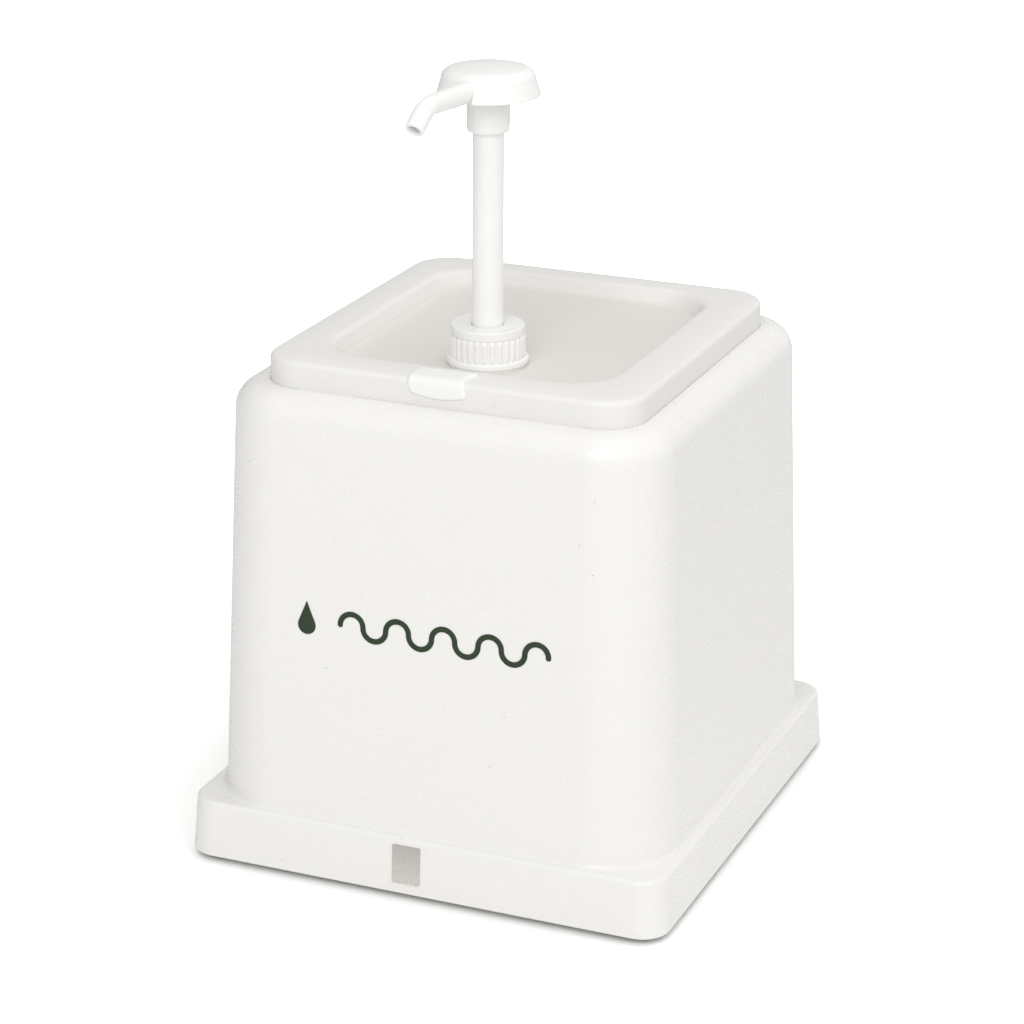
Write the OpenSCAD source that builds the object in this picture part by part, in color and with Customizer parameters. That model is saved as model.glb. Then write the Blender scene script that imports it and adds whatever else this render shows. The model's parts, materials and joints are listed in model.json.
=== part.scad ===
// Condiment pump dispenser: a moulded housing, the lidded sauce bucket that stands
// in it, and the lift pump that is screwed through the bucket's lid.
// Millimetres, +Z up. The origin is on the surface the feet stand on, under the
// middle of the plinth. The front, with the print and the badge, faces -Y.

/* [Housing] */
// Width of the plinth at its lower edge
plinth_w = 296; // [290:1:310]
// Depth of the plinth at its lower edge, front to back
plinth_d = 312; // [306:1:326]
// Height of the plinth
plinth_h = 34; // [30:1:40]
// Corner radius of the plinth in plan
plinth_corner = 17; // [14:1:22]
// Width of the ledge between the plinth and the body
ledge = 6.2; // [6:0.1:9]
// Height of the deck above the plinth's lower edge
body_h = 281.7; // [275:0.1:290]
// How far each body wall leans in from the ledge to the deck
body_draft = 8.6; // [4:0.1:9]
// Corner radius of the body in plan, just above the ledge
body_corner = 44; // [42:1:52]
// Radius of the body's top edge
deck_round = 16; // [12:1:17]
// Wall thickness of the housing
wall = 3; // [2:0.5:3.5]

/* [Lid and bucket] */
// Width of the bucket's lid
lid_w = 225; // [220:1:226]
// Depth of the bucket's lid, front to back
lid_d = 241; // [236:1:242]
// Height of the lid's rim above the deck
lid_rise = 16.5; // [12:0.5:20]
// Corner radius of the lid in plan
lid_corner = 25; // [22:1:28]
// Width of the lid's raised rim, at the sides
rim_w = 27.8; // [22:0.1:32]
// Depth of the lid's recess below the top of the rim
recess_depth = 9.7; // [8:0.1:12]
// Wall thickness of the lid and the bucket
skin_t = 1.8; // [1.5:0.1:2]
// Size of the bucket at its foot, side to side
bucket_foot_w = 190; // [180:1:192]

/* [Pump] */
// Distance of the pump's axis in front of the middle of the lid
pump_forward = 52; // [50:1:54]
// Visible height of the stem between the cap and the head's collar
stem_free = 110.3; // [90:0.1:120]
// Radius of the stem
stem_r = 8.9; // [8.5:0.1:9]
// Bore radius of the pump's cylinder
bore_r = 11.5; // [11.4:0.1:11.6]
// How far the spout's outlet stands out from the pump's axis
spout_reach = 79; // [74:1:90]
// How far the spout is turned from the front towards the left
spout_turn = 7; // [0:1:30]
// Downward angle of the spout's outlet
spout_angle = 40; // [30:1:50]

/* [Small parts] */
// Height of the feet below the plinth's lower edge
foot_h = 4; // [3:0.5:5]
// Radius of a foot
foot_r = 10; // [9:0.5:11]
// Width of the print on the front
print_w = 154; // [120:1:170]

/* [Hidden] */
$fn = 64;
corner_steps = 8;   // facets around each plan corner
eps = 0.01;         // overlap that joins two solids of one piece
join = 0.3;         // the same, where a straight tube runs into a bent one
step = 0.1;         // how much wider the bent tube is there, inside and out
run_gap = 0.07;     // radial clearance of a running fit

// Heights
z_edge = foot_h;                            // plinth's lower edge
z_ledge = z_edge + plinth_h;                // ledge round the body
z_deck = z_edge + body_h;                   // housing's deck
z_lid = z_deck + lid_rise;                  // top of the lid's rim
z_panel = z_lid - recess_depth;             // top of the lid's recessed panel
z_cap_top = z_panel + 23.2;                 // top of the screw cap
z_collar = z_cap_top + stem_free;           // lower end of the head's collar

// Housing
plinth_lean = 1.9;                          // draft of the plinth's wall
edge_round = 2.4;                           // radius of the plinth's top edge
foot_fillet = 3.4;                          // fillet between the ledge and the body
plinth_hx = plinth_w / 2;
plinth_hy = plinth_d / 2;
body_hx = plinth_hx - plinth_lean - ledge;
body_hy = plinth_hy - plinth_lean - ledge;
top_hx = body_hx - body_draft;
top_hy = body_hy - body_draft;
top_corner = body_corner - body_draft / 2;
opening_gap = 1.1;                          // clearance round the lid
opening_hx = lid_w / 2 + opening_gap;
opening_hy = lid_d / 2 + opening_gap;
opening_r = lid_corner + opening_gap;
lip_h = 7;                                  // depth of the lip round the opening
z_wall_foot = z_ledge + foot_fillet;
z_wall_top = z_deck - deck_round;
body_slope = (body_hy - top_hy) / (z_wall_top - z_wall_foot);
boss_x = plinth_hx - 18;
boss_y = plinth_hy - 18;
boss_r = 5.2;
pilot_r = 1.8;                              // screw's hole in a boss

// Base plate
plate_gap = 0.5;
plate_z = z_edge + 2;
plate_t = 3;
z_plate = plate_z + plate_t;
locator_h = 8;

// Lid
skirt_h = 26;                               // full height of the lid's skirt
lid_hx = lid_w / 2;
lid_hy = lid_d / 2;
recess_hx = lid_hx - rim_w;
recess_hy = lid_hy - rim_w + 3.8;
recess_r = 33;
lid_edge = 3.6;                             // radius of the rim's outer edge
crown = 1;                                  // how far the rim's crown falls to its edge
z_rim_under = z_lid - crown - skin_t - 0.6;

// Bucket
bucket_gap = 0.2;                           // bucket's foot above the base plate
bucket_hx = bucket_foot_w / 2;
bucket_hy = bucket_hx + 8;
bucket_r = 18;
bucket_draft = 9.5;
z_bucket = z_plate + bucket_gap;
z_floor = z_bucket + 3;
rim_hx = lid_hx - skin_t - 0.7;
rim_hy = lid_hy - skin_t - 0.7;
rim_r = lid_corner - skin_t - 0.7;
z_rim = z_rim_under - 0.3;
rim_h = 18;
rim_edge = 3;                               // slant of the rim's upper edge, as inside the lid
z_ears = z_rim - 34.2;

// Bail handle
wire_r = 2.2;
handle_x = lid_hx - 2.9;                    // half the distance between its arms
handle_l = 150;                             // pivot to grip
handle_reach = 115.2;                       // grip's distance in front of the pivots
handle_drop = acos(handle_reach / handle_l);
handle_bend = 36;
grip_r = 4.4;
grip_l = 96;

// Pump
pump_y = -pump_forward;
cap_r = 21;
neck_r = 17;
neck_bore = 14.6;
neck_flange_r = 22.3;
neck_flange_t = 1.3;
barrel_r = 13.6;
z_neck = z_cap_top - 7.7;                   // top of the neck
gasket_t = 1;
z_mouth = z_neck + gasket_t + 2;            // top of the cylinder's collar
bush_flange = 2.3;                          // thickness of the guide bush's flange
dish = 0.6;                                 // depth of the cap's top inside its raised edge
stroke = z_collar - z_cap_top + dish - 0.5;
spring_solid = 22;                          // closed height of the spring
piston_h = 12;
z_piston = z_mouth - piston_h - 13;         // underside of the piston at rest
z_well = z_piston - stroke - spring_solid;  // floor of the cylinder
valve_r = 7;
z_seat = z_well - 16;                       // top of the inlet valve's seat
seat_r = 3.6;
tube_r = 8;
z_tube = z_floor + 6;                       // open lower end of the dip tube
inlet_ball_r = 5;
outlet_ball_r = 5.6;
stem_bore = 5;
z_stem = z_collar + 16;                     // top of the stem
z_outlet_seat = z_stem - 12;

// Head and spout
z_spout = z_collar + 26.3;                  // height of the spout's axis
spout_r = 6.1;
tip_r = 5.6;
outlet_r = 3.2;
bend_r = 18;
tip_l = 10;
spout_straight = spout_reach - bend_r * sin(spout_angle) - tip_l * cos(spout_angle);
collar_r = 12.5;
hub_r = 9.5;
dome_r = 29.1;
dome_h = 17.2;
z_dome = z_collar + 20.4;
dome_t = 2;
notch_r = spout_r + 0.15;                   // the arch that the spout leaves the dome through

// Print
stroke_w = 3.2;
wave_r = 7;
wave_n = 9;
ink_t = 0.25;
z_print = z_edge + 154.3;
drop_r = 5.5;

// ---- Building blocks ----

// Plan outline: a rectangle of half sizes hx, hy with corners of radius r, at height z.
function outline(s) = [
    for (c = [0 : 3]) for (i = [0 : corner_steps])
        let (a = 90 * c + 90 * i / corner_steps,
             sx = (c == 0 || c == 3) ? 1 : -1,
             sy = c < 2 ? 1 : -1)
        [sx * (s[0] - s[2]) + s[2] * cos(a), sy * (s[1] - s[2]) + s[2] * sin(a), s[3]]
];

// Stations [hx, hy, r, z] that round a wall's top edge inwards by radius e.
function round_in(hx, hy, r, z, e, n) = [
    for (i = [0 : n]) let (a = 90 * i / n, d = e * (1 - cos(a)))
        [hx - d, hy - d, r - d, z - e + e * sin(a)]
];

// Stations of a fillet of radius f that turns a ledge at height z up into a wall.
function fillet_up(hx, hy, r, z, f, n) = [
    for (i = [0 : n]) let (a = 90 * i / n, d = f * (1 - sin(a)))
        [hx + d, hy + d, r + d, z + f * (1 - cos(a))]
];

function reversed(list) = [for (i = [len(list) - 1 : -1 : 0]) list[i]];
function mix(a, b, t) = a + (b - a) * t;

// Skin over a list of rings of points. A closed skin joins its last ring to its first.
module skin(rings, closed = false) {
    n = len(rings[0]);
    m = len(rings);
    sides = [
        for (i = [0 : closed ? m - 1 : m - 2]) for (j = [0 : n - 1])
            let (a = i * n, b = ((i + 1) % m) * n, k = (j + 1) % n)
            each [[a + j, b + j, b + k], [a + j, b + k, a + k]]
    ];
    caps = closed ? [] : [
        [for (j = [0 : n - 1]) j],
        [for (j = [n - 1 : -1 : 0]) (m - 1) * n + j]
    ];
    polyhedron(points = [for (r = rings) each r], faces = concat(sides, caps));
}

module loft(stations, closed = false) {
    skin([for (s = stations) outline(s)], closed);
}

module rounded_plate(hx, hy, r, h) {
    linear_extrude(h) {
        square([2 * (hx - r), 2 * hy], center = true);
        square([2 * hx, 2 * (hy - r)], center = true);
        for (x = [-1, 1]) for (y = [-1, 1])
            translate([x * (hx - r), y * (hy - r)]) circle(r);
    }
}

module tube(outer, inner, z0, z1) {
    translate([0, 0, z0]) difference() {
        cylinder(h = z1 - z0, r = outer);
        translate([0, 0, -1]) cylinder(h = z1 - z0 + 2, r = inner);
    }
}

module at_pump() {
    translate([0, pump_y, 0]) children();
}

module at_corners() {
    for (x = [-1, 1]) for (y = [-1, 1]) translate([x * boss_x, y * boss_y, 0]) children();
}

// ---- Housing ----

function housing_outside() = concat(
    [[plinth_hx, plinth_hy, plinth_corner, z_edge]],
    round_in(plinth_hx - plinth_lean, plinth_hy - plinth_lean, plinth_corner,
             z_ledge, edge_round, 3),
    fillet_up(body_hx, body_hy, body_corner, z_ledge, foot_fillet, 3),
    round_in(top_hx, top_hy, top_corner, z_deck, deck_round, 6)
);

function housing_inside() = concat(
    [[opening_hx, opening_hy, opening_r, z_deck],
     [opening_hx, opening_hy, opening_r, z_deck - lip_h],
     [opening_hx + 2, opening_hy + 2, opening_r + 2, z_deck - lip_h],
     [opening_hx + 2, opening_hy + 2, opening_r + 2, z_deck - wall - 1]],
    reversed(round_in(top_hx - wall, top_hy - wall, top_corner - wall,
                      z_deck - wall - 1, deck_round - wall - 3, 4)),
    [[body_hx - wall, body_hy - wall, body_corner - wall, z_ledge],
     [body_hx - wall, body_hy - wall, body_corner - wall, z_ledge - wall],
     [plinth_hx - plinth_lean - wall, plinth_hy - plinth_lean - wall,
      plinth_corner - wall, z_ledge - wall],
     [plinth_hx - wall, plinth_hy - wall, plinth_corner - wall, z_edge]]
);

module housing_shell() {
    color("#f1f0ec") difference() {
        union() {
            loft(concat(housing_outside(), housing_inside()), closed = true);
            at_corners() translate([0, 0, z_plate + 0.1])
                cylinder(h = z_ledge - wall - z_plate + 1, r = boss_r);
        }
        at_corners() translate([0, 0, z_plate - 1]) cylinder(h = 19, r = pilot_r);
    }
}

module base_plate() {
    color("#e4e3de") difference() {
        union() {
            translate([0, 0, plate_z])
                rounded_plate(plinth_hx - wall - plate_gap, plinth_hy - wall - plate_gap,
                              plinth_corner - wall - plate_gap, plate_t);
            translate([0, 0, z_plate - eps]) difference() {
                rounded_plate(bucket_hx + 4, bucket_hy + 4, bucket_r + 4, locator_h);
                translate([0, 0, -1])
                    rounded_plate(bucket_hx + 2, bucket_hy + 2, bucket_r + 2, locator_h + 2);
            }
        }
        at_corners() translate([0, 0, plate_z - 1]) cylinder(h = plate_t + 2, r = 2);
    }
}

module foot(x, y) {
    color("#2b2b2a") translate([x * boss_x, y * boss_y, 0]) difference() {
        union() {
            cylinder(h = 1, r1 = foot_r - 0.8, r2 = foot_r);
            translate([0, 0, 1]) cylinder(h = plate_z - 1, r = foot_r);
        }
        translate([0, 0, -1]) cylinder(h = 4.5, r = 4.4);
        cylinder(h = plate_z + 1, r = 2);
    }
}

module foot_front_left() { foot(-1, -1); }
module foot_front_right() { foot(1, -1); }
module foot_back_left() { foot(-1, 1); }
module foot_back_right() { foot(1, 1); }

module foot_screws() {
    color("#b9bbbd") at_corners() {
        translate([0, 0, 1.4]) difference() {
            cylinder(h = 2.05, r1 = 3.2, r2 = 3.8);
            for (a = [0, 90]) rotate(a) translate([-2, -0.4, -1]) cube([4, 0.8, 2.2]);
        }
        translate([0, 0, 3.4]) cylinder(h = 19.1, r = pilot_r - 0.05);
        translate([0, 0, 22.5 - eps]) cylinder(h = 2, r1 = pilot_r - 0.05, r2 = 0.4);
    }
}

// Puts a drawing on the front wall: its X runs across, its Y up the leaning wall.
module on_front(z) {
    translate([0, -(body_hy - body_slope * (z - z_wall_foot)) - 0.03, z])
        rotate([90 - atan(body_slope), 0, 0]) children();
}

// Piped line of sauce: half rings that turn up and down in turn, with round ends.
module wave_line() {
    for (i = [0 : wave_n - 1])
        translate([2 * wave_r * i + wave_r, 0, 0])
            rotate([0, 0, i % 2 == 0 ? 0 : 180]) rotate_extrude(angle = 180)
                translate([wave_r - stroke_w / 2, 0]) square([stroke_w, ink_t]);
    for (x = [0, 2 * wave_r * wave_n]) translate([x, 0, 0])
        cylinder(h = ink_t, r = stroke_w / 2);
}

module sauce_drop() {
    touch = asin(drop_r / (2.6 * drop_r));
    linear_extrude(ink_t) {
        circle(drop_r);
        polygon([[-drop_r * cos(touch), drop_r * sin(touch)],
                 [drop_r * cos(touch), drop_r * sin(touch)], [0, 2.6 * drop_r]]);
    }
}

module front_print() {
    line_l = 2 * wave_r * wave_n;
    color("#4d5a50") on_front(z_print) {
        translate([print_w / 2 - line_l - stroke_w / 2, 0, 0]) wave_line();
        translate([-print_w / 2 + drop_r, -wave_r / 2, 0]) sauce_drop();
    }
}

module badge() {
    badge_w = 17.5;
    badge_h = 23.6;
    z = z_edge + 18;
    lean = atan(plinth_lean / (plinth_h - edge_round));
    color("#8d9791")
        translate([-5.9, -plinth_hy + plinth_lean * 18 / (plinth_h - edge_round) - 0.03, z])
            rotate([90 - lean, 0, 0]) rounded_plate(badge_w / 2, badge_h / 2, 1, 0.3);
}

// ---- Bucket ----

function bucket_stations() = concat(
    [for (s = reversed(round_in(bucket_hx, bucket_hy, bucket_r, z_bucket, 4, 3)))
        [s[0], s[1], s[2], 2 * z_bucket - s[3]]],
    [[bucket_hx + bucket_draft, bucket_hy + bucket_draft, bucket_r + 3, z_rim - skin_t],
     [rim_hx - skin_t, rim_hy - skin_t, rim_r - skin_t, z_rim - skin_t],
     [rim_hx - skin_t, rim_hy - skin_t, rim_r - skin_t, z_rim - rim_h],
     [rim_hx, rim_hy, rim_r, z_rim - rim_h],
     [rim_hx, rim_hy, rim_r, z_rim - rim_edge],
     [rim_hx - rim_edge, rim_hy - rim_edge, rim_r - rim_edge, z_rim],
     [bucket_hx + bucket_draft - skin_t, bucket_hy + bucket_draft - skin_t,
      bucket_r + 3 - skin_t, z_rim],
     [bucket_hx - skin_t, bucket_hy - skin_t, bucket_r - skin_t, z_floor + 2],
     [bucket_hx - skin_t - 2, bucket_hy - skin_t - 2, bucket_r - skin_t - 2, z_floor]]
);

module bucket() {
    ear_in = bucket_hx + 4;
    ear_out = handle_x - wire_r - 0.5;
    color("#eceae4") difference() {
        union() {
            loft(bucket_stations());
            for (x = [-1, 1]) translate([x * ear_in, 0, z_ears]) rotate([0, 90 * x, 0])
                translate([0, 0, 3]) cylinder(h = ear_out - ear_in - 3, r = 6);
        }
        for (x = [-1, 1]) translate([x * (ear_in + 3.5), 0, z_ears]) rotate([0, 90 * x, 0])
            cylinder(h = 10, r = wire_r + run_gap);
    }
}

// The wire, flat in its own XY plane: pivots on X, grip at Y = -handle_l.
module bail_wire() {
    arm = handle_l - handle_bend;
    for (x = [-1, 1]) {
        translate([x * handle_x, 0, 0]) {
            rotate([90, 0, 0]) cylinder(h = arm, r = wire_r);
            sphere(wire_r);
            rotate([0, -90 * x, 0]) cylinder(h = 4.6, r = wire_r);
        }
        translate([x * (handle_x - handle_bend), -arm, 0])
            rotate([0, 0, x > 0 ? 270 : 180])
                rotate_extrude(angle = 90) translate([handle_bend, 0]) circle(wire_r);
    }
    translate([-(handle_x - handle_bend), -handle_l, 0]) rotate([0, 90, 0])
        cylinder(h = 2 * (handle_x - handle_bend), r = wire_r);
}

module at_handle() {
    translate([0, 0, z_ears]) rotate([handle_drop, 0, 0]) children();
}

module bail_handle() {
    color("#c4c6c8") at_handle() bail_wire();
}

module handle_grip() {
    color("#f4f3ef") at_handle() translate([-grip_l / 2, -handle_l, 0]) rotate([0, 90, 0])
        difference() {
            cylinder(h = grip_l, r = grip_r);
            translate([0, 0, -1]) cylinder(h = grip_l + 2, r = wire_r + run_gap);
        }
}

// ---- Lid ----

// The rim's crown between the lid's edge (t = 0) and the recess (t = 1).
function rim_station(t, z) = [
    mix(lid_hx - lid_edge, recess_hx, t), mix(lid_hy - lid_edge, recess_hy, t),
    mix(lid_corner - lid_edge, recess_r, t), z
];
function crown_z(t) = z_lid - crown * pow(1 - t / 0.6, 2);

// Outside of the lid from the skirt's lower edge to the recess, grown by g.
function lid_outside(g) = concat(
    [[lid_hx + g, lid_hy + g, lid_corner + g, z_lid - skirt_h]],
    round_in(lid_hx + g, lid_hy + g, lid_corner + g, crown_z(0) + g, lid_edge + g, 4),
    [for (t = [0.15, 0.35, 0.6, 0.8, 0.93]) rim_station(t, crown_z(t) + g)],
    [rim_station(1, crown_z(1) - 0.5 + g)]
);

module lid() {
    inner_hx = lid_hx - skin_t;
    inner_hy = lid_hy - skin_t;
    inner_r = lid_corner - skin_t;
    color("#e9e8e2") difference() {
        loft(concat(
            [[recess_hx - 3 + skin_t, recess_hy - 3 + skin_t, recess_r - 3 + skin_t,
              z_panel - skin_t],
             [recess_hx + skin_t, recess_hy + skin_t, recess_r + skin_t, z_rim_under],
             [inner_hx - rim_edge, inner_hy - rim_edge, inner_r - rim_edge, z_rim_under],
             [inner_hx, inner_hy, inner_r, z_rim_under - rim_edge],
             [inner_hx, inner_hy, inner_r, z_lid - skirt_h]],
            lid_outside(0),
            [[recess_hx - 3, recess_hy - 3, recess_r - 3, z_panel]]
        ));
        at_pump() translate([0, 0, z_panel - 10]) cylinder(h = 20, r = neck_r + 0.4);
    }
}

module seal_tab() {
    tab_w = 36.6;
    near = [for (s = lid_outside(0.1)) if (s[3] > z_lid - 11 && s[1] > lid_hy - 17) s];
    far = [for (s = lid_outside(1.7)) if (s[3] > z_lid - 11 && s[1] > lid_hy - 17) s];
    drop = [[-lid_hy - 0.1, z_lid - 13], [-lid_hy - 1.7, z_lid - 13]];
    profile = concat([drop[0]], [for (s = near) [-s[1], s[3]]],
                     reversed([for (s = far) [-s[1], s[3]]]), [drop[1]]);
    color("#ffffff") rotate([90, 0, 90]) translate([0, 0, -tab_w / 2])
        linear_extrude(tab_w) polygon(profile);
}

module neck() {
    color("#f4f3ef") at_pump() {
        tube(neck_r, neck_bore, z_panel - skin_t - 5, z_neck);
        tube(neck_flange_r, neck_r - eps, z_panel, z_panel + neck_flange_t);
    }
}

module neck_gasket() {
    color("#8f2f28") at_pump()
        tube(neck_flange_r, neck_r + 0.1, z_panel - skin_t - 1, z_panel - skin_t);
}

module neck_nut() {
    color("#f4f3ef") at_pump() translate([0, 0, z_panel - skin_t - 4.2]) difference() {
        cylinder(h = 3.2, r = neck_flange_r + 1.5, $fn = 8);
        translate([0, 0, -1]) cylinder(h = 6, r = neck_r + 0.1);
    }
}

// ---- Pump ----

module pump_cap() {
    ribs = 30;
    z_low = z_panel + neck_flange_t + 0.2;
    z_flange = z_low + 3.6;
    z_band = z_cap_top - 5.4;
    color("#fbfbf9") at_pump() difference() {
        union() {
            translate([0, 0, z_low]) cylinder(h = z_flange - z_low - 1, r = cap_r + 2.4);
            translate([0, 0, z_flange - 1 - eps])
                cylinder(h = 1, r1 = cap_r + 2.4, r2 = cap_r + 1.6);
            translate([0, 0, z_flange - 1]) cylinder(h = z_band - z_flange + 1, r = cap_r - 0.3);
            for (i = [0 : ribs - 1]) rotate(360 * i / ribs)
                translate([cap_r - 0.9, 0, z_flange - 1])
                    cylinder(h = z_band - z_flange + 1, r = 1.5);
            translate([0, 0, z_band - 1]) cylinder(h = z_cap_top - z_band + 1, r = cap_r);
        }
        translate([0, 0, z_panel]) cylinder(h = z_mouth + 0.1 - z_panel, r = neck_r + 1.1);
        translate([0, 0, z_mouth]) cylinder(h = bush_flange + 0.1, r = barrel_r);
        translate([0, 0, z_mouth]) cylinder(h = 20, r = stem_r + 0.6);
        translate([0, 0, z_cap_top - dish]) cylinder(h = 2, r = cap_r - 1.4);
    }
}

module pump_cylinder() {
    color("#f4f3ef") at_pump() {
        tube(neck_r + 0.7, bore_r, z_mouth - 2, z_mouth);
        tube(barrel_r, bore_r, z_well - eps, z_mouth - 1);
        difference() {
            translate([0, 0, z_well - 3]) cylinder(h = 3, r = barrel_r);
            translate([0, 0, z_well - 4]) cylinder(h = 5, r = 3);
            for (a = [0, 60, 120]) rotate(a) translate([-6, -0.8, z_well - 4])
                cube([12, 1.6, 5]);
        }
        tube(valve_r + 2, valve_r, z_seat - 6, z_well - 3 + eps);
    }
}

module cylinder_gasket() {
    color("#8f2f28") at_pump() tube(neck_r, barrel_r + 0.2, z_neck, z_neck + gasket_t);
}

module guide_bush() {
    color("#fbfbf9") at_pump() {
        tube(bore_r - 0.05, stem_r + run_gap, z_mouth - 12, z_mouth + eps);
        tube(barrel_r - 0.3, stem_r + run_gap, z_mouth, z_mouth + bush_flange);
    }
}

module foot_valve() {
    color("#e4e3de") at_pump() {
        tube(valve_r - 0.05, seat_r, z_seat - 6.1, z_seat);
        tube(tube_r + 1, seat_r, z_seat - 8, z_seat - 6.05);
        tube(6.2, seat_r, z_seat - 24, z_seat - 8 + eps);
    }
}

module dip_tube() {
    color("#e9e8e2") at_pump() difference() {
        tube(tube_r, 6.25, z_tube, z_seat - 8);
        translate([0, 0, z_tube]) rotate([0, 30, 0]) translate([-20, -20, -40])
            cube([40, 40, 40]);
    }
}

module inlet_ball() {
    rest = sqrt(inlet_ball_r * inlet_ball_r - seat_r * seat_r);
    color("#c4c6c8") at_pump() translate([0, 0, z_seat + rest + 0.1]) sphere(inlet_ball_r);
}

module spring() {
    coil_r = 8.9;
    coil_wire = 0.8;
    turns = 12;
    steps = 14;
    sides = 6;
    low = z_well + coil_wire + 0.1;
    high = z_piston - coil_wire - 0.1;
    rings = [
        for (i = [0 : turns * steps])
            let (a = 360 * i / steps, z = mix(low, high, i / (turns * steps)))
            [for (j = [0 : sides - 1])
                let (u = 360 * j / sides, r = coil_r + coil_wire * cos(u))
                [r * cos(a), r * sin(a), z - coil_wire * sin(u)]]
    ];
    color("#b9bbbd") at_pump() skin(rings);
}

module piston() {
    color("#f4f3ef") at_pump() difference() {
        translate([0, 0, z_piston]) cylinder(h = piston_h, r = bore_r - 0.3);
        translate([0, 0, z_piston - 1]) cylinder(h = piston_h + 2, r = stem_bore);
        translate([0, 0, z_piston + 4]) cylinder(h = piston_h, r = stem_r + 0.05);
        tube(bore_r + 1, bore_r - 1.5, z_piston + 1, z_piston + 3.4);
    }
}

module piston_seal() {
    color("#3a3a39") at_pump()
        tube(bore_r - 0.05, bore_r - 1.5, z_piston + 1, z_piston + 3.4);
}

module stem() {
    color("#ffffff") at_pump() difference() {
        translate([0, 0, z_piston + 4]) cylinder(h = z_stem - z_piston - 4, r = stem_r);
        translate([0, 0, z_piston]) cylinder(h = z_stem, r = stem_bore);
        translate([0, 0, z_outlet_seat]) cylinder(h = 20, r = outlet_ball_r + 0.8);
    }
}

module outlet_ball() {
    rest = sqrt(outlet_ball_r * outlet_ball_r - stem_bore * stem_bore);
    color("#c4c6c8") at_pump() translate([0, 0, z_outlet_seat + rest + 0.1])
        sphere(outlet_ball_r);
}

// ---- Head ----

// The spout's own frame: X along its straight run, origin on the pump's axis.
module at_spout() {
    translate([0, 0, z_spout]) rotate([0, 0, -90 - spout_turn]) children();
}

// Collar, hub and the spout's straight run, bored out.
module spout_root() {
    lip = 1.5;
    difference() {
        union() {
            translate([0, 0, z_collar]) cylinder(h = lip, r1 = collar_r - 1.4, r2 = collar_r - 0.5);
            translate([0, 0, z_collar + lip])
                cylinder(h = 21 - lip, r1 = collar_r - 0.5, r2 = collar_r);
            translate([0, 0, z_collar + 20]) cylinder(h = 13, r = hub_r);
            at_spout() {
                rotate([0, 90, 0]) cylinder(h = spout_straight + join, r1 = spout_r, r2 = tip_r);
                translate([hub_r - 2, -1.3, -8.5]) cube([9, 2.6, 8.5]);
            }
        }
        translate([0, 0, z_collar - 1])
            cylinder(h = z_stem + 0.3 - z_collar + 1, r = stem_r + run_gap);
        translate([0, 0, z_stem]) cylinder(h = z_spout - z_stem, r = outlet_r + 0.8);
        at_spout() rotate([0, 90, 0]) cylinder(h = spout_straight + 1, r = outlet_r);
    }
}

// The bend and the straight tip, which carry the bore on to the outlet.
module spout_end() {
    at_spout() translate([spout_straight, 0, -bend_r]) rotate([90, 0, 0])
        rotate([0, 0, 90 - spout_angle]) {
            rotate_extrude(angle = spout_angle) translate([bend_r, 0]) difference() {
                circle(tip_r + step);
                circle(outlet_r + step);
            }
            translate([bend_r, 0, 0]) rotate([90, 0, 0]) tube(tip_r, outlet_r, -join, tip_l);
        }
}

module spout_body() {
    color("#fdfdfb") at_pump() {
        spout_root();
        spout_end();
    }
}

// Half profile of the dome, shrunk by g all round: rim, leaning side, rounded crown.
function dome_profile(g) = concat(
    [[0, 0], [dome_r - g, 0], [dome_r - g, 1.2]],
    [for (i = [0 : 6]) let (a = 15 * i)
        [dome_r - 9.5 - g + 7 * cos(a), dome_h - 8 - g + 6.5 * sin(a)]],
    [[9, dome_h - g - 0.6], [0, dome_h - g]]
);

module head_cap() {
    color("#fdfdfb") at_pump() difference() {
        union() {
            translate([0, 0, z_dome]) difference() {
                rotate_extrude() polygon(dome_profile(0));
                translate([0, 0, -eps]) rotate_extrude() polygon(dome_profile(dome_t));
            }
            tube(hub_r + 2, hub_r + 0.1, z_dome + 1.5, z_dome + dome_h - dome_t);
        }
        at_spout() {
            rotate([0, 90, 0]) cylinder(h = dome_r + 5, r = notch_r);
            translate([0, -notch_r, -20]) cube([dome_r + 5, 2 * notch_r, 20]);
        }
    }
}

housing_shell();
base_plate();
foot_front_left();
foot_front_right();
foot_back_left();
foot_back_right();
foot_screws();
front_print();
badge();
bucket();
bail_handle();
handle_grip();
lid();
seal_tab();
neck();
neck_gasket();
neck_nut();
pump_cap();
pump_cylinder();
cylinder_gasket();
guide_bush();
foot_valve();
dip_tube();
inlet_ball();
spring();
piston();
piston_seal();
stem();
outlet_ball();
spout_body();
head_cap();
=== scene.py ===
"""Looks of the condiment pump dispenser: fine moulded shapes, materials, light and camera
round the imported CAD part. Metres, +Z up, the front faces -Y."""

import json
import math

import bmesh
import bpy
from mathutils import Matrix, Vector

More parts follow.
